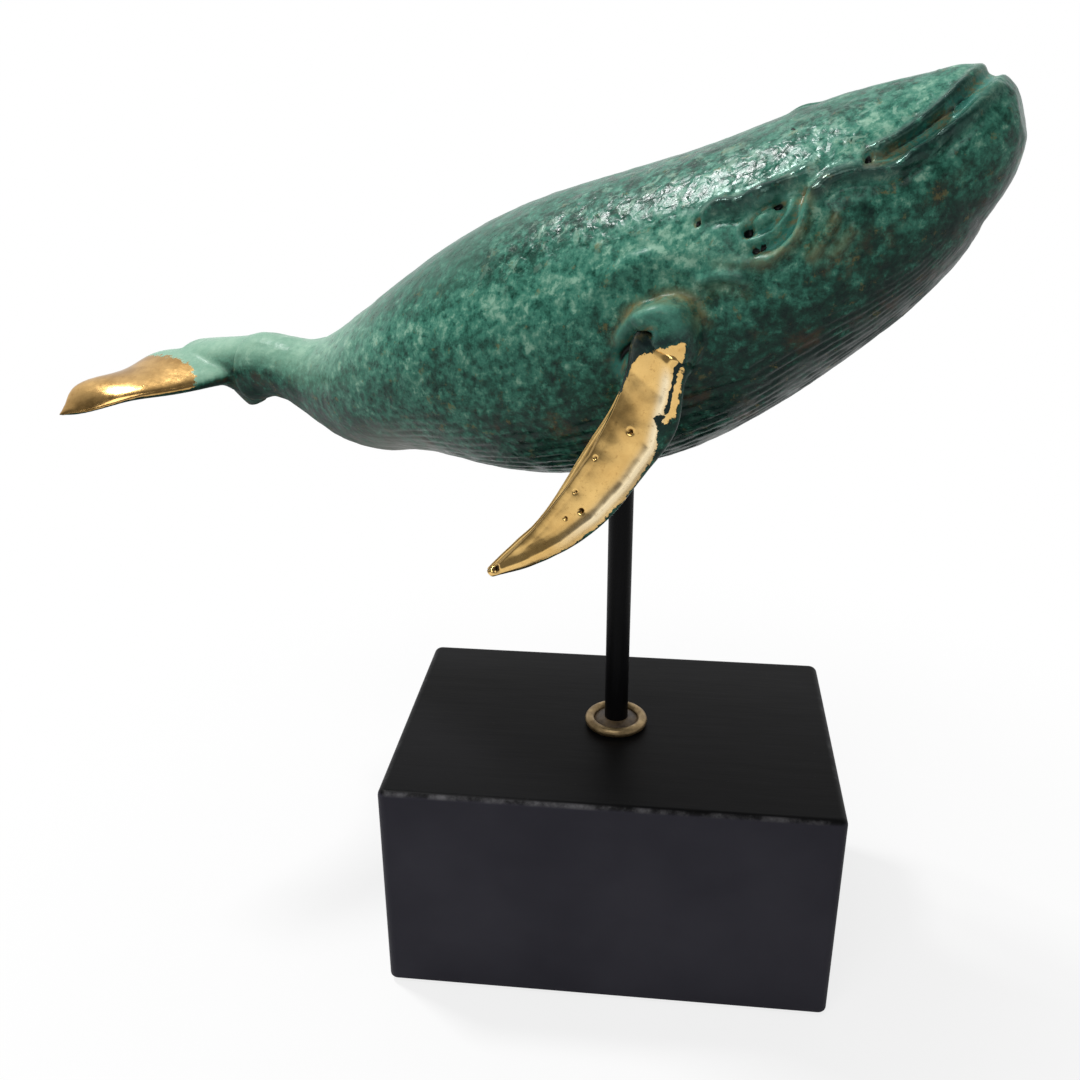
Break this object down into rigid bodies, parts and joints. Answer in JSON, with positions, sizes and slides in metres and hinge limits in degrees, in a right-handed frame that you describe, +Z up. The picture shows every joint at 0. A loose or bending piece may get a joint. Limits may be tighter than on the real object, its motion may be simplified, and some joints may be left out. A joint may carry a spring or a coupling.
{
  "type": "whale figurine",
  "caption": "Cast bronze humpback whale with green patina, bright flippers and tail flukes, carried on a steel rod over a black wooden block.",
  "frame": {"origin": "centre of the felt underside, where the block rests on a shelf", "axes": "+Z up along the rod, +X along the long side of the block toward the whale's head, -Y toward the front of the block; the whale is turned 20 degrees toward the front and pitched 18 degrees nose up"},
  "size_m": [0.2412, 0.1355, 0.2371],
  "materials": {
    "felt": "black felt",
    "black_wood": "satin black paint, worn at the edges",
    "plated_steel": "zinc plated",
    "dull_brass": "turned brass, dulled",
    "set_glue": "set glue, brown",
    "black_rod": "satin black paint",
    "green_patina": "cast bronze under green and turquoise patina",
    "bright_bronze": "polished cast bronze with dark patina left at the roots and edges"
  },
  "bodies": {
    "root": {"felt_pad": "felt", "base_block": "black_wood", "rod_washer": "plated_steel", "rod_nut": "plated_steel", "rod_ring": "dull_brass", "glue_bead": "set_glue", "support_rod": "black_rod", "belly_socket": "dull_brass", "whale_body": "green_patina", "right_flipper": "bright_bronze", "left_flipper": "bright_bronze", "tail_fluke": "bright_bronze"}
  },
  "joints": []
}
